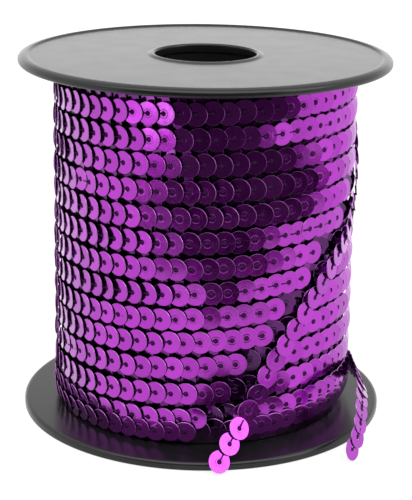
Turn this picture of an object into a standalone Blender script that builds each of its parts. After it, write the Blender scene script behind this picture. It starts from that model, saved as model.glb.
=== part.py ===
"""Sequin trim wound on a plain flanged plastic spool, with two loose ends.

Metres, +Z up. The origin is on the surface that the spool stands on, on the spool's axis.
The front of the spool faces -Y. Angles are degrees counter-clockwise from +X, seen from above.
"""

import math

import bmesh
import bpy
import numpy as np
from mathutils import Vector

MM = 0.001

# Spool
HEIGHT = 99.2 * MM
FLANGE_RADIUS = 50 * MM
RIM_THICKNESS = 2.4 * MM
RIM_ROUNDING = 0.6 * MM
BEAD_INNER_RADIUS = 47 * MM
RECESS = 0.6 * MM
BORE_RADIUS = 13.6 * MM
COLLAR_RADIUS = 15.6 * MM
CORE_INNER_RADIUS = 14 * MM
CORE_RADIUS = 15.8 * MM
GAP = 0.3 * MM
WELD = 0.05 * MM
FLANGE_STEPS = 64
CORE_STEPS = 40

# Trim: round sequins sewn in a row, each over the next
SEQUIN_RADIUS = 3 * MM
SEQUIN_PITCH = 4.8 * MM
STRIP_THICKNESS = 1.0 * MM
FLAT_SHARE = 0.8  # share of a loose end's width that is flat, between its thin edges
CUTS_PER_SEQUIN = 4

# Wound roll. Each turn lies beside the last, so the rows climb in one long helix.
ROW_RADIUS = 41.15 * MM
GROOVE_RADIUS = 39.9 * MM
ROLL_COLUMNS = 56
SIDE_STEP = 0.14  # share of a row's width that its sloping side takes
FRONT_ANGLE = 270

# Height in mm, at the front, of the line between each row and the next, from the lowest up.
# The first two and last two lie past the flanges, where the roll is cut flat.
ROW_EDGES = (
    -9.5, -2.8, 3.9, 7.5, 14.4, 21.6, 28.35, 34.8, 41.35, 48.0,
    54.7, 61.3, 68.0, 74.75, 81.3, 87.8, 94.3, 101.0, 107.7,
)

# Right of the front the rows swell upwards, more in the lower half.
SWELL_ANGLE = 312
SWELL_SPREAD = 35
SWELL_UPPER = 0.5 * MM
SWELL_LOWER = 1.9 * MM
SWELL_FADE = (35 * MM, 60 * MM)
SWELL_FOOT = 6 * MM

# The front end draws the rows in where it comes round the right side.
DRAW_DEPTH = 0.8 * MM
DRAW_REACH = 5 * MM
DRAW_ANGLES = (-34, -20, 26, 34)

# Routes of the two loose ends, from where each leaves the rows to its tip. Columns:
# angle, distance from the axis in mm, height in mm, angle that the flat side faces,
# and how far that side is turned up from level, in degrees.
FRONT_ROUTE = (
    (58.0, 42.1, 92.0, 58.0, 180),
    (52.0, 43.6, 92.1, 52.0, 150),
    (46.0, 45.0, 92.0, 46.0, 90),
    (40.0, 43.6, 91.8, 40.0, 30),
    (34.0, 42.1, 91.3, 34.0, 0),
    (27.0, 41.7, 89.3, 27.0, 0),
    (19.0, 41.5, 85.3, 19.0, 0),
    (11.0, 41.5, 79.9, 11.0, 0),
    (3.0, 41.5, 73.9, 3.0, 0),
    (-5.0, 41.5, 67.4, -5.0, 0),
    (-12.0, 41.6, 61.6, -12.0, 0),
    (-19.5, 41.8, 56.5, -19.5, 0),
    (-26.5, 42.0, 52.9, -26.5, 0),
    (-31.5, 42.0, 50.3, -31.5, 0),
    (-37.5, 42.1, 46.7, -37.5, 0),
    (-44.0, 42.1, 42.2, -44.0, 0),
    (-50.0, 42.1, 37.6, -50.0, 0),
    (-55.0, 42.1, 33.3, -55.0, 0),
    (-59.0, 42.1, 29.5, -59.0, 0),
    (-63.0, 42.1, 25.6, -63.0, 0),
    (-66.5, 42.2, 21.4, -66.5, 0),
    (-70.0, 42.9, 17.3, -70.0, 0),
    (-74.0, 44.4, 13.8, -74.0, 0),
    (-77.6, 46.6, 10.4, -77.6, 0),
    (-81.2, 49.0, 7.3, -81.2, 0),
    (-84.4, 51.3, 3.6, -84.4, 0),
    (-86.4, 52.6, 1.2, -86.4, 0),
)
SIDE_ROUTE = (
    (16.0, 42.1, 10.4, 16.0, 0),
    (8.0, 42.1, 10.5, 8.0, 0),
    (-1.0, 42.3, 11.0, 0.0, 0),
    (-10.0, 43.3, 12.1, 2.0, 10),
    (-19.5, 45.9, 13.2, 3.0, 22),
    (-27.6, 48.9, 13.9, -4.0, 30),
    (-33.5, 51.4, 13.1, -14.0, 32),
    (-38.1, 53.9, 10.9, -22.0, 28),
    (-41.1, 55.6, 8.2, -27.0, 22),
    (-43.9, 56.9, 5.5, -32.0, 18),
    (-46.9, 57.8, 3.3, -34.0, 17),
    (-49.2, 58.6, 1.6, -34.0, 17),
)


def clear_scene():
    for thing in list(bpy.data.objects):
        bpy.data.objects.remove(thing, do_unlink=True)


def plain_material(name, colour, roughness, metallic):
    material = bpy.data.materials.new(name)
    material.use_nodes = True
    shader = material.node_tree.nodes["Principled BSDF"]
    shader.inputs["Base Color"].default_value = (*colour, 1)
    shader.inputs["Roughness"].default_value = roughness
    shader.inputs["Metallic"].default_value = metallic
    return material


def place_object(name, mesh, material, collection, sharp_angle=math.radians(30)):
    mesh.materials.append(material)
    mesh.shade_smooth()
    mesh.set_sharp_from_angle(angle=sharp_angle)
    thing = bpy.data.objects.new(name, mesh)
    collection.objects.link(thing)
    return thing


def turned(name, profile, steps, material, collection):
    """A ring turned from a closed outline of (radius, height) that runs down its outer side."""
    mesh = bpy.data.meshes.new(name)
    count = len(profile)
    mesh.from_pydata(
        [(radius, 0, height) for radius, height in profile],
        [(i, (i + 1) % count) for i in range(count)],
        [],
    )
    thing = bpy.data.objects.new(name, mesh)
    collection.objects.link(thing)
    mesh.materials.append(material)
    screw = thing.modifiers.new("turn", "SCREW")
    screw.axis = "Z"
    screw.angle = 2 * math.pi
    screw.steps = steps
    screw.render_steps = steps
    screw.use_merge_vertices = True
    screw.merge_threshold = 0.00001
    screw.use_smooth_shade = True
    return thing


def flange_profile():
    """Outline of the lower flange: rounded rim, bead, sunk web, collar and bore."""
    inner_face = RIM_THICKNESS
    return [
        (FLANGE_RADIUS - RIM_ROUNDING, inner_face),
        (FLANGE_RADIUS, inner_face - RIM_ROUNDING),
        (FLANGE_RADIUS, RIM_ROUNDING),
        (FLANGE_RADIUS - RIM_ROUNDING, 0),
        (BEAD_INNER_RADIUS + RECESS, 0),
        (BEAD_INNER_RADIUS, RECESS),
        (COLLAR_RADIUS, RECESS),
        (COLLAR_RADIUS - RECESS / 2, 0),
        (BORE_RADIUS + RECESS, 0),
        (BORE_RADIUS, RECESS),
        (BORE_RADIUS, inner_face),
    ]


def upside_down(profile):
    """The same outline at the top of the spool, still running down its outer side."""
    return [(radius, HEIGHT - height) for radius, height in reversed(profile)]


def make_spool(plastic, collection):
    profile = flange_profile()
    turned("flange_bottom", profile, FLANGE_STEPS, plastic, collection)
    turned("flange_top", upside_down(profile), FLANGE_STEPS, plastic, collection)
    low = RIM_THICKNESS + GAP
    high = HEIGHT - low
    tube = [
        (CORE_RADIUS, high),
        (CORE_RADIUS, low),
        (CORE_INNER_RADIUS, low),
        (CORE_INNER_RADIUS, high),
    ]
    turned("core_tube", tube, CORE_STEPS, plastic, collection)


def swell(angle):
    away = (angle - SWELL_ANGLE) / SWELL_SPREAD
    return math.exp(-away * away / 2)


def row_height(row, around):
    """Height of a line across the rows. Once round the roll, it has climbed by one row."""
    base = float(np.interp(row + around, range(len(ROW_EDGES)), ROW_EDGES)) * MM
    angle = FRONT_ANGLE + 360 * around
    angle -= 360 * (angle > SWELL_ANGLE + 180)
    size = np.interp(base, SWELL_FADE, (SWELL_LOWER, SWELL_UPPER))
    size *= np.clip(base / SWELL_FOOT, 0, 1)
    return base + size * (swell(angle) - swell(FRONT_ANGLE))


def drawn_in(angle, height):
    """How far the front end pulls the rows in under itself."""
    angle = (angle + 180) % 360 - 180
    route = FRONT_ROUTE[::-1]
    middle = np.interp(angle, [row[0] for row in route], [row[2] for row in route]) * MM
    share = np.interp(angle, DRAW_ANGLES, (0, 1, 1, 0))
    return share * DRAW_DEPTH * math.exp(-(((height - middle) / DRAW_REACH) ** 4))


def make_roll(film, collection):
    """The wound rows: a flat grid wrapped round the axis, each row with sloping sides."""
    low = RIM_THICKNESS + GAP
    high = HEIGHT - low
    levels = (0, SIDE_STEP, 1 - SIDE_STEP)
    level_count = len(levels) * (len(ROW_EDGES) - 2)
    bm = bmesh.new()
    bmesh.ops.create_grid(bm, x_segments=ROLL_COLUMNS, y_segments=level_count, size=1)
    for vertex in bm.verts:
        around = (vertex.co.x + 1) / 2
        level = round((vertex.co.y + 1) / 2 * level_count)
        row, step = divmod(level, len(levels))
        height = row_height(row + levels[step], around)
        angle = FRONT_ANGLE + 360 * around
        radius = ROW_RADIUS if step else GROOVE_RADIUS
        if not low < height < high:
            height = min(max(height, low), high)
            radius = GROOVE_RADIUS
        radius -= drawn_in(angle, height)
        turn = math.radians(angle)
        vertex.co = (radius * math.cos(turn), radius * math.sin(turn), height)
    bmesh.ops.remove_doubles(bm, verts=bm.verts, dist=WELD)
    close_ends(bm, (low, high))
    mesh = bpy.data.meshes.new("trim_roll")
    bm.to_mesh(mesh)
    bm.free()
    return place_object("trim_roll", mesh, film, collection)


def close_ends(bm, ends):
    """Flat ends from the outer rows in to the core, and the wall round the core."""
    inner_radius = CORE_RADIUS + GAP
    inner_edges = []
    for end in ends:
        edges = [
            edge for edge in bm.edges
            if edge.is_boundary and abs(edge.verts[0].co.z - end) < MM
        ]
        made = bmesh.ops.extrude_edge_only(bm, edges=edges)["geom"]
        for vertex in (item for item in made if isinstance(item, bmesh.types.BMVert)):
            vertex.co.xy = vertex.co.xy.normalized() * inner_radius
            vertex.co.z = end
        inner_edges += [item for item in made if isinstance(item, bmesh.types.BMEdge)]
    inner_edges = [edge for edge in inner_edges if edge.is_boundary]
    bmesh.ops.bridge_loops(bm, edges=inner_edges)
    bmesh.ops.recalc_face_normals(bm, faces=bm.faces)


def smooth_curve(points, per_span=24):
    """Points close together on one smooth curve through the given rows of numbers."""
    points = np.array(points, float)
    first = 2 * points[0] - points[1]
    last = 2 * points[-1] - points[-2]
    padded = np.vstack([first, points, last])
    found = []
    for before, start, end, after in zip(padded, padded[1:], padded[2:], padded[3:]):
        for share in np.arange(per_span) / per_span:
            found.append(
                start
                + share * (end - before) / 2
                + share**2 * (before - 2.5 * start + 2 * end - after / 2)
                + share**3 * (1.5 * (start - end) + (after - before) / 2)
            )
    return np.array(found + [points[-1]])


def route_in_space(route):
    """Places in metres and the way the flat side faces, from a route's table."""
    angle, radius, height, face, up = smooth_curve(route).T
    places = np.stack(
        [
            radius * MM * np.cos(np.radians(angle)),
            radius * MM * np.sin(np.radians(angle)),
            height * MM,
        ],
        axis=1,
    )
    face, up = np.radians(face), np.radians(up)
    facing = np.stack([np.cos(face) * np.cos(up), np.sin(face) * np.cos(up), np.sin(up)], axis=1)
    return places, facing


def half_width(from_tip):
    """Half the width of the row of round sequins, which is scalloped along its edges."""
    nearest = max(0, round((from_tip - SEQUIN_RADIUS) / SEQUIN_PITCH))
    away = from_tip - SEQUIN_RADIUS - nearest * SEQUIN_PITCH
    return math.sqrt(max(SEQUIN_RADIUS**2 - away**2, (SEQUIN_RADIUS / 5) ** 2))


def read_along(distance, to_tip, values):
    """The value at a distance from the tip, from values listed towards the tip."""
    return Vector([np.interp(distance, to_tip[::-1], column[::-1]) for column in values.T])


def make_loose_end(name, route, film, collection):
    """A flat scalloped strip that follows a route and turns with it."""
    places, facing = route_in_space(route)
    steps = np.linalg.norm(np.diff(places, axis=0), axis=1)
    to_tip = np.append(np.cumsum(steps[::-1])[::-1], 0)
    spacing = SEQUIN_PITCH / CUTS_PER_SEQUIN
    cuts = [0, SEQUIN_RADIUS / 8, SEQUIN_RADIUS / 2, SEQUIN_RADIUS]
    cuts += list(np.arange(SEQUIN_RADIUS + spacing, to_tip[0], spacing))
    bm = bmesh.new()
    rings = []
    for cut in cuts:
        place = read_along(cut, to_tip, places)
        ahead = read_along(cut - MM, to_tip, places) - read_along(cut + MM, to_tip, places)
        across = ahead.cross(read_along(cut, to_tip, facing)).normalized() * half_width(cut)
        out = across.cross(ahead).normalized() * STRIP_THICKNESS / 2
        section = [across, FLAT_SHARE * across + out, -FLAT_SHARE * across + out]
        section += [-corner for corner in section]
        rings.append([bm.verts.new(place + corner) for corner in section])
    for ring, following in zip(rings, rings[1:]):
        for i in range(len(ring)):
            j = (i + 1) % len(ring)
            bm.faces.new((ring[i], ring[j], following[j], following[i]))
    bm.faces.new(rings[0])
    bm.faces.new(rings[-1])
    bmesh.ops.recalc_face_normals(bm, faces=bm.faces)
    bmesh.ops.triangulate(bm, faces=bm.faces)
    mesh = bpy.data.meshes.new(name)
    bm.to_mesh(mesh)
    bm.free()
    return place_object(name, mesh, film, collection)


def main():
    clear_scene()
    collection = bpy.data.collections.new("sequin_trim_spool")
    bpy.context.scene.collection.children.link(collection)
    plastic = plain_material("spool_plastic", (0.032, 0.032, 0.034), 0.35, 0)
    film = plain_material("sequin_film", (0.42, 0.05, 0.58), 0.22, 1)
    make_spool(plastic, collection)
    make_roll(film, collection)
    make_loose_end("loose_end_front", FRONT_ROUTE, film, collection)
    make_loose_end("loose_end_side", SIDE_ROUTE, film, collection)


main()
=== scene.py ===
"""Looks of a sequin trim wound on its black spool. Metres, in the same frame as the solids."""

import math

import bpy
import numpy as np
from mathutils import Matrix


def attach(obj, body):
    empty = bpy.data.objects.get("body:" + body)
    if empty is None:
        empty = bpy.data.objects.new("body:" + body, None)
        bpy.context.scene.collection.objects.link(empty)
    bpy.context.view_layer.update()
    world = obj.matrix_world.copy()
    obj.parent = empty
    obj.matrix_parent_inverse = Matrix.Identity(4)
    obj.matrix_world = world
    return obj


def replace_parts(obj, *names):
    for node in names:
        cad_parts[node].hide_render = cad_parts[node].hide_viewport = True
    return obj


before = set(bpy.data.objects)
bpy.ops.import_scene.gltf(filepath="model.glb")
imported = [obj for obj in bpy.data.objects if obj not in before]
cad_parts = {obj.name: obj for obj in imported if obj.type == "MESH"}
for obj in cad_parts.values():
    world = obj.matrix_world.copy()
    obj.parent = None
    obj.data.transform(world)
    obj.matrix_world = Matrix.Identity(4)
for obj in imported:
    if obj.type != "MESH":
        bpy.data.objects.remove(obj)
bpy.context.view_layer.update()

MM = 0.001
RNG = np.random.default_rng(7)

# Camera, fitted to the rims of the two flanges
PICTURE_HEIGHT = 500
FOCAL_PIXELS = 1548.92
CAMERA_DISTANCE = 411.09 * MM
CAMERA_HEIGHT = 171.93 * MM
CAMERA_DOWN = math.radians(17.307)
CAMERA_TURN = math.radians(-0.1153)
CAMERA_ROLL = math.radians(0.8004)
SENSOR = 36

# Light. Radiance in the picture's own units, where 1 is white: the room, low and high at its
# back, low in front, above the camera, and what the floor gives and returns.
WHITE_ROOM = 1.15
BACK_LOW = 1.75
BACK_HIGH = 0.75
FRONT_DARK = 0.015
FRONT_TOP = 3.2
FLOOR_GLOW = 0.8
FLOOR_ALBEDO = 0.22
# Cards over the floor, seen only in reflections: radiance from and to, and corners in mm
CARDS = (
    ("dark_card", 0.008, 0.13, ((-167, -150), (130, -150), (2870, -2950), (-3790, -2950))),
    ("dim_card", 0.2, 0.45, ((-157, -104), (-288, -178), (-226, -258), (-103, -164))),
    ("bright_card", 3.4, 4.4, ((-250, -290), (-345, -150), (-415, -165), (-310, -352))),
    (
        "right_card",
        0.008,
        0.13,
        ((162, -182), (199, -138), (218, -101), (255, -108), (311, -190), (275, -245), (240, -262)),
    ),
    ("near_card", 0.02, 0.2, ((-12, -58), (50, -58), (60, -92), (-12, -92))),
)
CARD_CLOUDS = (0.42, 0.68)  # noise at which a card is at its least and most
CARD_STEP = 0.3 * MM  # height of each card over the one before
PANEL = 4.6  # a bright panel at the right, seen in the front end's tip
CAMERA_WHITE = 1.5  # the room as the camera sees it
FLOOR_SIZE = 6.0
# Where the room's light changes. Backwards runs from -1 in front to 1 at the back, all round;
# right and up are a direction's own parts.
FRONT_BACKWARDS = (-0.72, -0.6)
BACK_BACKWARDS = (0.5, 0.95)
BACK_UP = (0.22, 0.4)
PANEL_START_BACKWARDS = (-0.68, -0.6)
PANEL_END_BACKWARDS = (-0.16, -0.08)
PANEL_RIGHT = (0, 0.1)
PANEL_UP = (0.24, 0.3)
TOP_BACKWARDS = (-0.5, 0.2)
TOP_UP = (0.5, 0.6)

# Colours, from dark to light
FILM_COLOURS = ((0.34, 0.02, 0.42), (0.43, 0.034, 0.52))
# The under layers' film, darker than the outer rows': painted shade.
SHADED_UNDER_COLOURS = ((0.05, 0.003, 0.07), (0.2, 0.009, 0.25))
EDGE_COLOURS = ((0.30, 0.07, 0.36), (0.46, 0.17, 0.52))
THREAD_COLOURS = ((0.016, 0.0015, 0.024), (0.05, 0.005, 0.065))
# The layers further in, near black: painted shade.
WOUND_SHADE_COLOURS = ((0.003, 0.0003, 0.004), (0.02, 0.002, 0.026))
PLASTIC_COLOURS = ((0.006, 0.006, 0.0065), (0.009, 0.009, 0.0095))

# Angles in degrees above which an edge of a mesh stays sharp
FILM_SHARP = 4
THREAD_SHARP = 60
PLASTIC_SHARP = 30

# Spool
HEIGHT = 99.2 * MM
FLANGE_RADIUS = 50 * MM
RIM_THICKNESS = 2.4 * MM
RIM_ROUNDING = 0.9 * MM
BEAD_INNER_RADIUS = 46.8 * MM
BEAD_CREST = 47.7 * MM
UPPER_FALL = 1.2 * MM
LOWER_FALL = 0.4 * MM
RECESS = 0.45 * MM
FLAT_MARGIN = 0.15 * MM  # a ring this far in keeps the flat faces flat beside their rounded edges
BORE_RADIUS = 13.6 * MM
BORE_ROUNDING = 0.25 * MM
COLLAR_RADIUS = 15.9 * MM
COLLAR_CREST = 14.2 * MM
CORE_RADIUS = 15.8 * MM
GAP = 0.3 * MM
TURNED_STEPS = 240

# Sequins
SEQUIN_RADIUS = 3 * MM
HOLE_RADIUS = 0.7 * MM
RING_RADIUS = 1.1 * MM
RING_HALF_WIDTH = 0.12 * MM
RING_RISE = 0.012 * MM
FILM_HALF = 0.06 * MM
EDGE_CHAMFER = 0.07 * MM
SEQUIN_SIDES = 24
INNER_SIDES = 12

# Threads: points in mm of a stitch, along its sequin's row and out of its plane, and the rings
# of the knot in its hole, by radius and height in mm
THREAD_RADIUS = 0.17 * MM
THREAD_SIDES = 5
ROW_STITCH = ((-2.4, 0.24), (-0.8, 0.26), (-0.15, 0.1), (0.1, -0.3))
END_STITCH = ((-2.6, 0.22), (-0.8, 0.24), (-0.15, 0.1), (0.1, -0.3))
END_BACK_STITCH = ((-0.1, 0.1), (0.15, -0.2), (0.8, -0.26), (2.8, -0.24))
KNOT_RINGS = ((0.66, -0.1), (0.6, 0.0), (0.3, 0.09))
KNOT_SIDES = 8

# Loose ends, from the tip: distances in mm from one sequin to the next, and the sequins' tilts
# in degrees. The last value of each goes on.
FRONT_STEPS = (5.3, 4.9, 5.2, 4.9, 5.4, 4.8, 4.6, 4.7, 5.0, 4.9, 4.5, 5.0, 4.3, 4.3, 4.7, 4.1, 4.8)
FRONT_TILTS = (9, 9, 9, -15, -15, 9)
SIDE_STEPS = (3.9, 4.0, 4.2, 4.2) + 8 * (4.0,) + (4.8,)
SIDE_TILTS = (3,)
END_SPREAD = 1.0

# Wound rows
PER_TURN = 61
FIRST_TURN = 0.6
ROW_OFFSET = 3.3 * MM  # from the line under a row to the row's middle
OUTER_RADIUS = 40.3 * MM
FOOT_FULLER = 0.6 * MM  # how much wider the roll is at its foot than at its top
INNER_RADIUS = 38.9 * MM
WOUND_RADIUS = 38.2 * MM
WOUND_SIDES = 120
# Rows that crowd against a flange lie deeper by a share of the height that they lack, and those
# that lack more than this at the foot or the top are left out
FLANGE_CLEARANCE = 0.1 * MM
CROWDED_SHARE = 0.35
CROWDED_MOST = 0.9 * MM
LACKING_BELOW = 3.4 * MM
LACKING_ABOVE = 2.0 * MM
# Random differences between sequins: tilt in degrees in each layer and the share of it that is
# across the row, place along the row in sequins, and height
OUTER_SPREAD = 1.6
INNER_SPREAD = 3.0
LEAN_SHARE = 0.6
STEP_SPREAD = 0.05
HEIGHT_SPREAD = 0.1 * MM
# Above and left of the front end the rows sink into a groove darkened with painted shade: distances
# in mm from the end's middle, angles over which the groove fades out, its depth, and the sequins'
# tilt and lowered tone, the painted shade, in it. Beyond the last angle the end has left the rows.
BESIDE_END = (0.3, 1.2, 5.4, 6.4)
BESIDE_ANGLES = (-20, -8)
BESIDE_DEPTH = 1.3 * MM
BESIDE_TILT = 15
BESIDE_SHADED_TONE = 0.3
BESIDE_LAST_ANGLE = 75
BESIDE_REACH = 3  # route points to each side that give the end's direction
# The rows below these heights in mm lean their faces down, and less between these angles
LOW_LEAN_HEIGHTS = (8.0, 12.0)
LOW_LEAN = -13
LOW_BRIGHT_ANGLES = (228, 238, 256, 262)
LOW_BRIGHT_SHARE = 0.4

# Heights in mm at the front of the lines between rows, from the lowest up
FRONT_ANGLE = 270
ROW_EDGES = (
    -9.5, -2.8, 3.9, 7.5, 14.4, 21.6, 28.35, 34.8, 41.35, 48.0,
    54.7, 61.3, 68.0, 74.75, 81.3, 87.8, 94.3, 101.0, 107.7,
)
# Tilt in degrees of each of those rows' sequins, just left of the front and right of it
LEFT_TILTS = (7, 7, 7, 7, 7, 7, 7, 7, 14, 7, 13, 7, 7, 7, 9, 8, 7, 7, 7)
RIGHT_TILTS = (10, 10, 10, 10, 10, 8, 8, 8, 3, 5, 2, 22, 22, 16, 4, 12, 10, 10, 10)
FAR_LEFT_TILT = 6
ROW_TILT = 10
# Places in turns from the front, between which the tilt goes from the row's own to the far
# left, left and right ones and back
TILT_PARTS = (-0.27, -0.22, -0.14, -0.09, -0.02, 0.03, 0.14, 0.2)
TILT_SEAM = 0.3  # turns left of the front at which the next row's tilts begin

# Right of the front the rows swell upwards, more in the lower half
SWELL_ANGLE = 312
SWELL_SPREAD = 35
SWELL_UPPER = 0.5 * MM
SWELL_LOWER = 1.9 * MM
SWELL_FADE = (35 * MM, 60 * MM)
SWELL_FOOT = 6 * MM

# Routes of the loose ends to their tips: angle, distance from the axis in mm, height in mm,
# angle that the flat side faces, and how far that side is turned up from level
FRONT_ROUTE = (
    (58.0, 42.1, 92.0, 58.0, 180),
    (52.0, 43.6, 92.1, 52.0, 150),
    (46.0, 45.0, 92.0, 46.0, 90),
    (40.0, 43.6, 91.8, 40.0, 30),
    (34.0, 42.1, 91.3, 34.0, 0),
    (27.0, 41.7, 89.3, 27.0, 0),
    (19.0, 41.5, 85.3, 19.0, 0),
    (11.0, 41.5, 79.9, 11.0, 0),
    (3.0, 41.5, 73.9, 3.0, 0),
    (-5.0, 41.5, 67.4, -5.0, 0),
    (-12.0, 41.6, 61.6, -12.0, 0),
    (-19.5, 41.8, 56.5, -19.5, 0),
    (-26.5, 42.0, 52.9, -26.5, 0),
    (-31.5, 42.0, 50.3, -31.5, 0),
    (-37.5, 42.1, 46.7, -37.5, 0),
    (-44.0, 42.1, 42.2, -44.0, 0),
    (-50.0, 42.1, 37.6, -50.0, 0),
    (-55.0, 42.1, 33.3, -55.0, 0),
    (-59.0, 42.1, 29.5, -59.0, 0),
    (-63.0, 42.1, 25.6, -63.0, 0),
    (-66.5, 42.2, 21.4, -66.5, 0),
    (-70.0, 42.9, 17.3, -70.0, 0),
    (-74.0, 44.4, 13.8, -74.0, 0),
    (-77.6, 46.6, 10.4, -77.6, 0),
    (-81.2, 49.0, 7.3, -81.2, 0),
    (-84.4, 51.3, 3.6, -84.4, 0),
    (-86.4, 52.6, 1.2, -86.4, 0),
)
SIDE_ROUTE = (
    (16.0, 42.1, 10.4, 16.0, 0),
    (8.0, 42.1, 10.5, 8.0, 0),
    (-1.0, 42.3, 11.0, 0.0, 0),
    (-10.0, 43.3, 12.1, 2.0, 10),
    (-19.5, 45.9, 13.2, 3.0, 22),
    (-27.6, 48.9, 13.9, -4.0, 30),
    (-33.5, 51.4, 13.1, -14.0, 32),
    (-38.1, 53.9, 10.9, -22.0, 28),
    (-41.1, 55.6, 8.2, -27.0, 22),
    (-43.9, 56.9, 5.5, -32.0, 18),
    (-46.9, 57.8, 3.3, -34.0, 17),
    (-49.2, 58.6, 1.6, -34.0, 17),
)


def make_camera():
    data = bpy.data.cameras.new("camera")
    data.sensor_width = SENSOR
    data.lens = SENSOR * FOCAL_PIXELS / PICTURE_HEIGHT
    data.clip_start = 10 * MM
    camera = bpy.data.objects.new("camera", data)
    bpy.context.scene.collection.objects.link(camera)
    turn = Matrix.Rotation(CAMERA_TURN, 4, "Z")
    tilt = Matrix.Rotation(math.pi / 2 - CAMERA_DOWN, 4, "X")
    roll = Matrix.Rotation(CAMERA_ROLL, 4, "Z")
    place = Matrix.Translation((0, -CAMERA_DISTANCE, CAMERA_HEIGHT))
    camera.matrix_world = place @ turn @ tilt @ roll
    bpy.context.scene.camera = camera


def smooth_curve(points, per_span=24):
    """Points close together on one smooth curve through the given rows of numbers."""
    points = np.array(points, float)
    first = 2 * points[0] - points[1]
    last = 2 * points[-1] - points[-2]
    padded = np.vstack([first, points, last])
    found = []
    for before, start, end, after in zip(padded, padded[1:], padded[2:], padded[3:]):
        for share in np.arange(per_span) / per_span:
            found.append(
                start
                + share * (end - before) / 2
                + share**2 * (before - 2.5 * start + 2 * end - after / 2)
                + share**3 * (1.5 * (start - end) + (after - before) / 2)
            )
    return np.array(found + [points[-1]])


def cylinder_point(angle, radius, height):
    turn = np.radians(angle)
    return np.stack([radius * np.cos(turn), radius * np.sin(turn), height], axis=-1)


class Route:
    """A loose end's smooth middle line, read by the distance from its tip."""

    def __init__(self, table):
        angle, radius, height, face, up = smooth_curve(table).T
        self.places = cylinder_point(angle, radius * MM, height * MM)
        face, up = np.radians(face), np.radians(up)
        self.facing = np.stack(
            [np.cos(face) * np.cos(up), np.sin(face) * np.cos(up), np.sin(up)], axis=1
        )
        steps = np.linalg.norm(np.diff(self.places, axis=0), axis=1)
        self.to_tip = np.append(np.cumsum(steps[::-1])[::-1], 0)
        self.length = float(self.to_tip[0])

    def read(self, values, distance):
        return np.array([np.interp(distance, self.to_tip[::-1], v[::-1]) for v in values.T])

    def place(self, distance):
        return self.read(self.places, distance)

    def axes(self, distance):
        """Directions towards the tip, across the strip and out of its face."""
        ahead = unit(self.place(distance - MM) - self.place(distance + MM))
        across = unit(np.cross(self.read(self.facing, distance), ahead))
        return ahead, across, np.cross(ahead, across)


def unit(vector):
    return vector / np.linalg.norm(vector)


def new_material(name, roughness, metallic=0.0):
    material = bpy.data.materials.new(name)
    material.use_nodes = True
    shader = material.node_tree.nodes["Principled BSDF"]
    shader.inputs["Roughness"].default_value = roughness
    shader.inputs["Metallic"].default_value = metallic
    return material, material.node_tree, shader


def noise(tree, scale, detail=3.0):
    coordinates = tree.nodes.new("ShaderNodeTexCoord")
    texture = tree.nodes.new("ShaderNodeTexNoise")
    texture.inputs["Scale"].default_value = scale
    texture.inputs["Detail"].default_value = detail
    tree.links.new(coordinates.outputs["Object"], texture.inputs["Vector"])
    return texture.outputs["Fac"]


def paint(tree, shader, factor, low, high, colours):
    """Colour a shader with colours that run from low to high of a factor."""
    node = tree.nodes.new("ShaderNodeValToRGB")
    node.color_ramp.elements[0].position = low
    node.color_ramp.elements[1].position = high
    for element, colour in zip(node.color_ramp.elements, colours):
        element.color = (*colour, 1)
    tree.links.new(factor, node.inputs["Fac"])
    tree.links.new(node.outputs["Color"], shader.inputs["Base Color"])


def map_range(tree, factor, source, target):
    node = tree.nodes.new("ShaderNodeMapRange")
    for name, value in zip(("From Min", "From Max", "To Min", "To Max"), (*source, *target)):
        node.inputs[name].default_value = value
    tree.links.new(factor, node.inputs["Value"])
    return node.outputs["Result"]


def roughen(tree, shader, factor, low, high):
    """Vary a shader's roughness with a noise's middle range."""
    result = map_range(tree, factor, (0.3, 0.7), (low, high))
    tree.links.new(result, shader.inputs["Roughness"])


def bump(tree, shader, height, strength, distance):
    node = tree.nodes.new("ShaderNodeBump")
    node.inputs["Strength"].default_value = strength
    node.inputs["Distance"].default_value = distance
    tree.links.new(height, node.inputs["Height"])
    tree.links.new(node.outputs["Normal"], shader.inputs["Normal"])


def film_material(name, colours):
    """Purple metallised film with a clear face, a little uneven from one sequin to the next."""
    material, tree, shader = new_material(name, roughness=0.16, metallic=1.0)
    shader.inputs["Coat Weight"].default_value = 0.5
    shader.inputs["Coat Roughness"].default_value = 0.06
    tone = tree.nodes.new("ShaderNodeAttribute")
    tone.attribute_name = "tone"
    paint(tree, shader, tone.outputs["Fac"], 0.0, 1.0, colours)
    roughen(tree, shader, noise(tree, scale=900), 0.13, 0.2)
    bump(tree, shader, noise(tree, scale=420), strength=0.25, distance=0.04 * MM)
    return material


def edge_material():
    """The cut edge of the film, paler than its face."""
    material, tree, shader = new_material("film_edge", roughness=0.32, metallic=0.7)
    paint(tree, shader, noise(tree, scale=700), 0.3, 0.7, EDGE_COLOURS)
    return material


def thread_material():
    material, tree, shader = new_material("sewing_thread", roughness=0.75)
    shader.inputs["Specular IOR Level"].default_value = 0.12
    paint(tree, shader, noise(tree, scale=2500), 0.35, 0.65, THREAD_COLOURS)
    bump(tree, shader, noise(tree, scale=4000), strength=0.5, distance=0.05 * MM)
    return material


def wound_material():
    """The depth of the roll behind its outer layers, near black as painted shade."""
    material, tree, shader = new_material("wound_inside_painted_shade", roughness=0.5)
    paint(tree, shader, noise(tree, scale=600), 0.35, 0.7, WOUND_SHADE_COLOURS)
    bump(tree, shader, noise(tree, scale=500), strength=0.8, distance=0.4 * MM)
    return material


def plastic_material():
    """Moulded black plastic: satin, with a fine even grain and faint handling marks."""
    material, tree, shader = new_material("moulded_plastic", roughness=0.26)
    shader.inputs["IOR"].default_value = 1.4
    paint(tree, shader, noise(tree, scale=60), 0.3, 0.7, PLASTIC_COLOURS)
    roughen(tree, shader, noise(tree, scale=130), 0.25, 0.27)
    bump(tree, shader, noise(tree, scale=3000), strength=0.12, distance=0.03 * MM)
    return material


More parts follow.
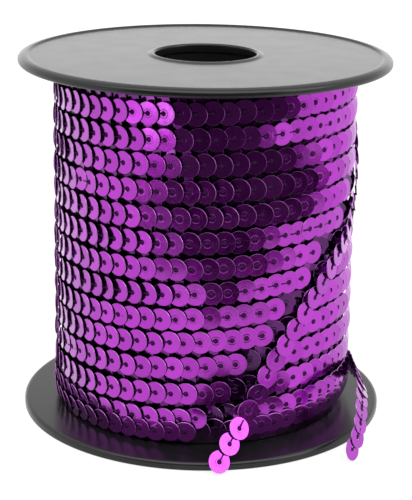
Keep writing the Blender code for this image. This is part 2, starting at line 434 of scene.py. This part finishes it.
def add_mesh(name, vertices, faces, materials, sharp=FILM_SHARP):
    mesh = bpy.data.meshes.new(name)
    mesh.from_pydata(vertices.tolist(), [], faces)
    for material in materials:
        mesh.materials.append(material)
    mesh.shade_smooth()
    mesh.set_sharp_from_angle(angle=math.radians(sharp))
    thing = bpy.data.objects.new(name, mesh)
    bpy.context.scene.collection.objects.link(thing)
    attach(thing, "root")
    return thing


def turned_shape(outline, sides):
    """Vertices and faces of an anticlockwise outline of (radius, height) turned round the z axis."""
    count = len(outline)
    turns = np.arange(sides) * 2 * math.pi / sides
    radius, height = np.array(outline, float).T
    level = np.tile(height, (sides, 1))
    x, y = np.outer(np.cos(turns), radius), np.outer(np.sin(turns), radius)
    faces = []
    for side in range(sides):
        here, there = side * count, (side + 1) % sides * count
        for i in range(count):
            j = (i + 1) % count
            faces.append((here + i, there + i, there + j, here + j))
    return np.stack([x, y, level], axis=-1).reshape(-1, 3), faces


def sequin_shape(sides):
    """One flat sequin and which of its faces are the bevelled cut edge, with a fine pressed ring."""
    outline = [
        (HOLE_RADIUS, -FILM_HALF),
        (SEQUIN_RADIUS, -FILM_HALF),
        (SEQUIN_RADIUS - EDGE_CHAMFER, FILM_HALF),
        (RING_RADIUS + RING_HALF_WIDTH, FILM_HALF),
        (RING_RADIUS, FILM_HALF + RING_RISE),
        (RING_RADIUS - RING_HALF_WIDTH, FILM_HALF),
        (HOLE_RADIUS, FILM_HALF),
    ]
    cut_edge = 1
    vertices, faces = turned_shape(outline, sides)
    edges = [int(i % len(outline) == cut_edge) for i in range(len(faces))]
    return vertices, faces, edges


def tube_shape(rings):
    """A closed tube through rings of vertices, which run anticlockwise seen from its far end."""
    sides = len(rings[0])
    last = (len(rings) - 1) * sides
    faces = [tuple(range(sides))[::-1], tuple(range(last, last + sides))]
    for low in range(0, last, sides):
        high = low + sides
        for side in range(sides):
            following = (side + 1) % sides
            faces.append((low + side, low + following, high + following, high + side))
    return np.array(rings, float).reshape(-1, 3), faces


def circle(sides):
    """Cosines and sines of the corners of a ring."""
    turns = [2 * math.pi * side / sides for side in range(sides)]
    return [(math.cos(turn), math.sin(turn)) for turn in turns]


def knot_shape():
    """The thread bunched up in a sequin's hole."""
    return tube_shape(
        [
            [(radius * MM * c, radius * MM * s, height * MM) for c, s in circle(KNOT_SIDES)]
            for radius, height in KNOT_RINGS
        ]
    )


def stitch_shape(points):
    """A short thread through points, x along the row and z out of the sequin."""
    return tube_shape(
        [
            [
                (x * MM, THREAD_RADIUS * c, z * MM + THREAD_RADIUS * s)
                for c, s in circle(THREAD_SIDES)
            ]
            for x, z in points
        ]
    )


def joined(first, second):
    """Two shapes as one."""
    shift = len(first[0])
    faces = [tuple(corner + shift for corner in face) for face in second[1]]
    return np.vstack([first[0], second[0]]), first[1] + faces


def scattered(shape, places, axes):
    """Copies of one shape at places, turned to their axes, as one set of vertices and faces."""
    vertices, faces = shape[:2]
    moved = np.einsum("nij,vj->nvi", axes, vertices) + places[:, None, :]
    many = []
    for copy in range(len(places)):
        shift = copy * len(vertices)
        many += [tuple(corner + shift for corner in face) for face in faces]
    return moved.reshape(-1, 3), many


def add_sequins(name, places, axes, sides, materials, tone):
    shape = sequin_shape(sides)
    vertices, faces = scattered(shape, places, axes)
    thing = add_mesh(name, vertices, faces, materials)
    mesh = thing.data
    if len(materials) > 1:
        mesh.polygons.foreach_set("material_index", shape[2] * len(places))
    attribute = mesh.attributes.new("tone", "FLOAT", "POINT")
    attribute.data.foreach_set("value", np.repeat(tone, len(shape[0])).astype(np.float32))
    return thing


def add_threads(name, places, axes, shape, material):
    vertices, faces = scattered(shape, places, axes)
    return add_mesh(name, vertices, faces, [material], THREAD_SHARP)


def swell(angle):
    away = (angle - SWELL_ANGLE) / SWELL_SPREAD
    return math.exp(-away * away / 2)


def row_height(row, around):
    """Height of a line across the rows. Once round the roll, it has climbed by one row."""
    base = float(np.interp(row + around, range(len(ROW_EDGES)), ROW_EDGES)) * MM
    angle = FRONT_ANGLE + 360 * around
    angle -= 360 * (angle > SWELL_ANGLE + 180)
    size = np.interp(base, SWELL_FADE, (SWELL_LOWER, SWELL_UPPER))
    size *= np.clip(base / SWELL_FOOT, 0, 1)
    return base + size * (swell(angle) - swell(FRONT_ANGLE))


def tilted(ahead, across, out, turn, lean):
    """A sequin's axes, turned so that its front edge lifts, then leant back."""
    turn, lean = math.radians(turn), math.radians(lean)
    lifted = math.cos(turn) * ahead + math.sin(turn) * out
    face = math.cos(turn) * out - math.sin(turn) * ahead
    side = math.cos(lean) * across - math.sin(lean) * face
    face = math.cos(lean) * face + math.sin(lean) * across
    return np.stack([lifted, side, face], axis=1)


def beside_end(route, place):
    """How far a wound sequin lies in the groove above and left of the front end, 0 to 1."""
    angles = np.arctan2(route.places[:, 1], route.places[:, 0])
    along = OUTER_RADIUS * (np.arctan2(place[1], place[0]) - angles)
    above = place[2] - route.places[:, 2]
    off_rows = np.abs(angles) >= math.radians(BESIDE_LAST_ANGLE)
    nearest = np.argmin(along**2 + above**2 + off_rows)
    if off_rows[nearest]:
        return 0.0
    low, high = max(nearest - BESIDE_REACH, 0), min(nearest + BESIDE_REACH, len(angles) - 1)
    run = OUTER_RADIUS * (angles[high] - angles[low])
    fall = route.places[high, 2] - route.places[low, 2]
    side = (fall * along[nearest] - run * above[nearest]) / math.hypot(run, fall)
    return float(np.interp(side / MM, BESIDE_END, (0, 1, 1, 0)))


def table_value(table, index):
    """A table's value at an index. Its last value goes on."""
    return table[min(index, len(table) - 1)]


def row_tilt(turns):
    """Tilt of the sequins of the row at this many turns up the roll."""
    row = math.floor(turns + TILT_SEAM)
    left = table_value(LEFT_TILTS, row)
    right = table_value(RIGHT_TILTS, row)
    tilts = (ROW_TILT, FAR_LEFT_TILT, FAR_LEFT_TILT, left, left, right, right, ROW_TILT)
    return float(np.interp(turns - row, TILT_PARTS, tilts))


def low_lean(angle, height):
    """Further lean of a sequin in the lowest rows."""
    lean = np.interp(height / MM, LOW_LEAN_HEIGHTS, (LOW_LEAN, 0))
    shares = (1, LOW_BRIGHT_SHARE, LOW_BRIGHT_SHARE, 1)
    return lean * np.interp(angle % 360, LOW_BRIGHT_ANGLES, shares)


def row_climb(row, around):
    """How fast a row rises, by the turn in radians."""
    step = 0.01
    return (row_height(row, around + step) - row_height(row, around)) / (2 * math.pi * step)


def wound_sequins(radius, raised, spread, route):
    """Places and axes of the sequins of one layer of the roll, and which lie in the groove."""
    lowest = RIM_THICKNESS + SEQUIN_RADIUS + FLANGE_CLEARANCE
    highest = HEIGHT - lowest
    places, axes, sunk = [], [], []
    turns = FIRST_TURN
    while turns < len(ROW_EDGES) - 2:
        row, around = divmod(turns, 1)
        angle = FRONT_ANGLE + 360 * around
        wanted = row_height(row, around) + ROW_OFFSET + raised
        turns += (1 + RNG.normal(0, STEP_SPREAD)) / PER_TURN
        height = min(max(wanted, lowest), highest) + RNG.normal(0, 1) * HEIGHT_SPREAD
        turn, lean = RNG.normal(0, spread, 2) * (1, LEAN_SHARE)
        lacking = abs(height - wanted)
        if lacking > (LACKING_BELOW if wanted < lowest else LACKING_ABOVE):
            continue
        here = radius - min(CROWDED_MOST, CROWDED_SHARE * lacking)
        here += FOOT_FULLER * (1 - height / HEIGHT)
        beside = beside_end(route, cylinder_point(angle, radius, height))
        beside *= np.interp((angle + 180) % 360 - 180, BESIDE_ANGLES, (1, 0))
        here -= beside * BESIDE_DEPTH
        turn += beside * BESIDE_TILT + row_tilt(turns)
        lean += low_lean(angle, height)
        out = cylinder_point(angle, 1.0, 0.0)
        level = np.array([-out[1], out[0], 0])
        ahead = unit(level * here + np.array([0, 0, row_climb(row, around)]))
        places.append(out * here + np.array([0, 0, height]))
        axes.append(tilted(ahead, np.cross(out, ahead), out, turn, lean))
        sunk.append(beside > 0.5)
    return np.array(places), np.array(axes), np.array(sunk)


def make_outer_rows(film, under, edge, thread, front_end):
    places, axes, sunk = wound_sequins(OUTER_RADIUS, 0, OUTER_SPREAD, front_end)
    tone = RNG.random(len(places))
    low = places[:, 2] < HEIGHT / 2

    def add_rows(name, chosen, face, tones):
        looks = [face, edge]
        return add_sequins(
            name, places[chosen], axes[chosen], SEQUIN_SIDES, looks, tones[chosen]
        )

    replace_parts(add_rows("rows_lower", low & ~sunk, film, tone), "trim_roll")
    add_rows("rows_upper", ~low & ~sunk, film, tone)
    stitch = joined(stitch_shape(ROW_STITCH), knot_shape())
    add_threads("rows_thread", places, axes, stitch, thread)
    # The sequins in the groove take the darker film with their tone lowered further: painted shade.
    add_rows("rows_sunk", sunk, under, BESIDE_SHADED_TONE * tone)


def make_inner_rows(under, front_end):
    """The layer that shows between the outer rows, in a film darkened as painted shade."""
    places, axes, sunk = wound_sequins(INNER_RADIUS, ROW_OFFSET, INNER_SPREAD, front_end)
    # In the under layer the sequins in the groove take the darkest tone: painted shade.
    tone = np.where(sunk, 0, RNG.random(len(places)))
    add_sequins("rows_inner", places, axes, INNER_SIDES, [under], tone)


def make_wound_inside(material):
    """The plain form of the layers further in, a dark shell whose colour is painted shade."""
    low = RIM_THICKNESS + GAP
    high = HEIGHT - low
    inner = CORE_RADIUS + GAP
    outline = [(WOUND_RADIUS, high), (inner, high), (inner, low), (WOUND_RADIUS, low)]
    vertices, faces = turned_shape(outline, WOUND_SIDES)
    add_mesh("wound_inside_painted_shade", vertices, faces, [material])


def end_sequins(route, steps, tilts):
    """Places and axes of a loose end's sequins, from the tip, and the distance of the last."""
    places, axes = [], []
    distance = SEQUIN_RADIUS
    while distance < route.length - SEQUIN_RADIUS:
        turn, lean = RNG.normal(0, END_SPREAD, 2)
        turn += table_value(tilts, len(axes))
        last = distance
        distance += table_value(steps, len(places)) * MM
        places.append(route.place(last))
        axes.append(tilted(*route.axes(last), turn, lean))
    return np.array(places), np.array(axes), last


def make_end(name, table, steps, tilts, node, film, edge, thread):
    route = Route(table)
    places, axes, last = end_sequins(route, steps, tilts)
    over = joined(stitch_shape(END_STITCH), knot_shape())
    under = stitch_shape(END_BACK_STITCH)
    sewn = add_threads(name + "_thread", places, axes, over, thread)
    behind = add_threads(name + "_thread_back", places, axes, under, thread)
    tone = RNG.random(len(places))
    strand = add_sequins(name, places, axes, SEQUIN_SIDES, [film, edge], tone)
    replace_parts(strand, node)


def rounded(centre, across, up, start, end, steps):
    """Points of an ellipse's arc in an outline, between two angles in degrees."""
    angles = np.radians(np.linspace(start, end, steps))
    return [(centre[0] + across * math.cos(a), centre[1] + up * math.sin(a)) for a in angles]


def eased(start, end, steps=6):
    """Points of a slope that starts and ends level."""
    shares = (1 - np.cos(np.linspace(0, math.pi, steps))) / 2
    radii = np.linspace(start[0], end[0], steps)
    return [(r, start[1] + share * (end[1] - start[1])) for r, share in zip(radii, shares)]


def flange_outline(fall):
    """The lower flange's outline, anticlockwise from its bead, which falls away to the rim."""
    crest = (BEAD_CREST, fall)
    outline = rounded(crest, FLANGE_RADIUS - BEAD_CREST, fall, -90, 0, steps=8)
    soft = (FLANGE_RADIUS - RIM_ROUNDING, RIM_THICKNESS - RIM_ROUNDING)
    outline += rounded(soft, RIM_ROUNDING, RIM_ROUNDING, 0, 90, steps=6)
    outline.append((soft[0] - FLAT_MARGIN, RIM_THICKNESS))
    soft = (BORE_RADIUS + BORE_ROUNDING, RIM_THICKNESS - BORE_ROUNDING)
    outline.append((soft[0] + FLAT_MARGIN, RIM_THICKNESS))
    outline += rounded(soft, BORE_ROUNDING, BORE_ROUNDING, 90, 180, steps=4)
    lip = COLLAR_CREST - BORE_RADIUS
    outline += rounded((COLLAR_CREST, lip), lip, lip, 180, 270, steps=7)
    outline += eased((COLLAR_CREST, 0), (COLLAR_RADIUS, RECESS))[1:]
    outline.append((COLLAR_RADIUS + FLAT_MARGIN, RECESS))
    outline.append((BEAD_INNER_RADIUS - FLAT_MARGIN, RECESS))
    outline += eased((BEAD_INNER_RADIUS, RECESS), (BEAD_CREST, 0))[:-1]
    return outline


def make_lower_flange(plastic):
    vertices, faces = turned_shape(flange_outline(LOWER_FALL), TURNED_STEPS)
    lower = add_mesh("lower_flange", vertices, faces, [plastic], PLASTIC_SHARP)
    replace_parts(lower, "flange_bottom")


def make_upper_flange(plastic):
    """The same form upside down, at the top."""
    vertices, faces = turned_shape(flange_outline(UPPER_FALL), TURNED_STEPS)
    vertices = vertices * (1, 1, -1) + (0, 0, HEIGHT)
    faces = [face[::-1] for face in faces]
    upper = add_mesh("upper_flange", vertices, faces, [plastic], PLASTIC_SHARP)
    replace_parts(upper, "flange_top")


def dress_core(plastic):
    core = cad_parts["core_tube"]
    core.data.materials.clear()
    core.data.materials.append(plastic)


def plain_stage_mesh(name, corners, material):
    mesh = bpy.data.meshes.new(name)
    mesh.from_pydata(corners, [], [tuple(range(len(corners)))])
    mesh.materials.append(material)
    thing = bpy.data.objects.new(name, mesh)
    bpy.context.scene.collection.objects.link(thing)
    return thing


def glowing_material(name, albedo):
    """A matt grey that also glows white."""
    material, tree, shader = new_material(name, roughness=1.0)
    shader.inputs["Base Color"].default_value = (albedo, albedo, albedo, 1)
    shader.inputs["Specular IOR Level"].default_value = 0
    shader.inputs["Emission Color"].default_value = (1, 1, 1, 1)
    return material, tree, shader.inputs["Emission Strength"]


def make_floor():
    material, _, glow = glowing_material("pale_floor", FLOOR_ALBEDO)
    glow.default_value = FLOOR_GLOW
    half = FLOOR_SIZE / 2
    corners = [(-half, -half, 0), (half, -half, 0), (half, half, 0), (-half, half, 0)]
    plain_stage_mesh("floor", corners, material)


def make_card(name, least, most, corners, height):
    material, tree, glow = glowing_material(name, 0.0)
    clouds = noise(tree, scale=18, detail=1.0)
    tree.links.new(map_range(tree, clouds, CARD_CLOUDS, (least, most)), glow)
    card = plain_stage_mesh(name, [(x * MM, y * MM, height) for x, y in corners], material)
    card.visible_camera = False
    card.visible_diffuse = False
    card.visible_shadow = False


def calculate(tree, operation, first, second=0.0):
    node = tree.nodes.new("ShaderNodeMath")
    node.operation = operation
    for socket, value in zip(node.inputs, (first, second)):
        if isinstance(value, (int, float)):
            socket.default_value = value
        else:
            tree.links.new(value, socket)
    return node.outputs[0]


def product(tree, first, *others):
    for other in others:
        first = calculate(tree, "MULTIPLY", first, other)
    return first


def blended(tree, share, first, second):
    """The first value where the share is 0, and the second where it is 1."""
    rest = calculate(tree, "SUBTRACT", 1, share)
    return calculate(tree, "ADD", product(tree, first, rest), product(tree, second, share))


def room_directions(tree):
    """How far a direction points backwards, all round, and its own parts to the right and up."""
    coordinates = tree.nodes.new("ShaderNodeTexCoord")
    split = tree.nodes.new("ShaderNodeSeparateXYZ")
    tree.links.new(coordinates.outputs["Generated"], split.inputs[0])
    right, back, up = split.outputs
    squares = calculate(tree, "ADD", product(tree, right, right), product(tree, back, back))
    level = calculate(tree, "MAXIMUM", calculate(tree, "SQRT", squares), 0.001)
    return calculate(tree, "DIVIDE", back, level), right, up


def room_light(tree):
    """A white room, dark low in front, with a panel at the right and a light over the camera."""
    backwards, right, up = room_directions(tree)
    walls = map_range(tree, backwards, FRONT_BACKWARDS, (FRONT_DARK, WHITE_ROOM))
    at_back = map_range(tree, backwards, BACK_BACKWARDS, (0, 1))
    further = map_range(tree, up, BACK_UP, (BACK_LOW - WHITE_ROOM, BACK_HIGH - WHITE_ROOM))
    walls = calculate(tree, "ADD", walls, product(tree, at_back, further))
    panel = product(
        tree,
        map_range(tree, backwards, PANEL_START_BACKWARDS, (0, PANEL - WHITE_ROOM)),
        map_range(tree, backwards, PANEL_END_BACKWARDS, (1, 0)),
        map_range(tree, right, PANEL_RIGHT, (0, 1)),
        map_range(tree, up, PANEL_UP, (0, 1)),
    )
    walls = calculate(tree, "ADD", walls, panel)
    top = map_range(tree, backwards, TOP_BACKWARDS, (FRONT_TOP, WHITE_ROOM))
    return blended(tree, map_range(tree, up, TOP_UP, (0, 1)), walls, top)


def make_world():
    """The room as the object sees it, and plain white as the camera does."""
    world = bpy.data.worlds.new("studio")
    bpy.context.scene.world = world
    world.use_nodes = True
    tree = world.node_tree
    background = tree.nodes["Background"]
    background.inputs["Color"].default_value = (1, 1, 1, 1)
    path = tree.nodes.new("ShaderNodeLightPath")
    strength = blended(tree, path.outputs["Is Camera Ray"], room_light(tree), CAMERA_WHITE)
    tree.links.new(strength, background.inputs["Strength"])


def set_view_transform():
    view = bpy.context.scene.view_settings
    view.view_transform = "Standard"
    view.look = "None"


def main():
    make_camera()
    film = film_material("purple_film", FILM_COLOURS)
    edge = edge_material()
    thread = thread_material()
    looks = (film, edge, thread)
    make_end("front_end", FRONT_ROUTE, FRONT_STEPS, FRONT_TILTS, "loose_end_front", *looks)
    make_end("side_end", SIDE_ROUTE, SIDE_STEPS, SIDE_TILTS, "loose_end_side", *looks)
    # The under layers take the same film in darker colours, as painted shade.
    under = film_material("purple_film_under_painted_shade", SHADED_UNDER_COLOURS)
    front_end = Route(FRONT_ROUTE)
    make_outer_rows(film, under, edge, thread, front_end)
    make_inner_rows(under, front_end)
    make_wound_inside(wound_material())
    plastic = plastic_material()
    make_lower_flange(plastic)
    make_upper_flange(plastic)
    dress_core(plastic)
    make_floor()
    for level, card in enumerate(CARDS, 1):
        make_card(*card, level * CARD_STEP)
    make_world()
    set_view_transform()


main()
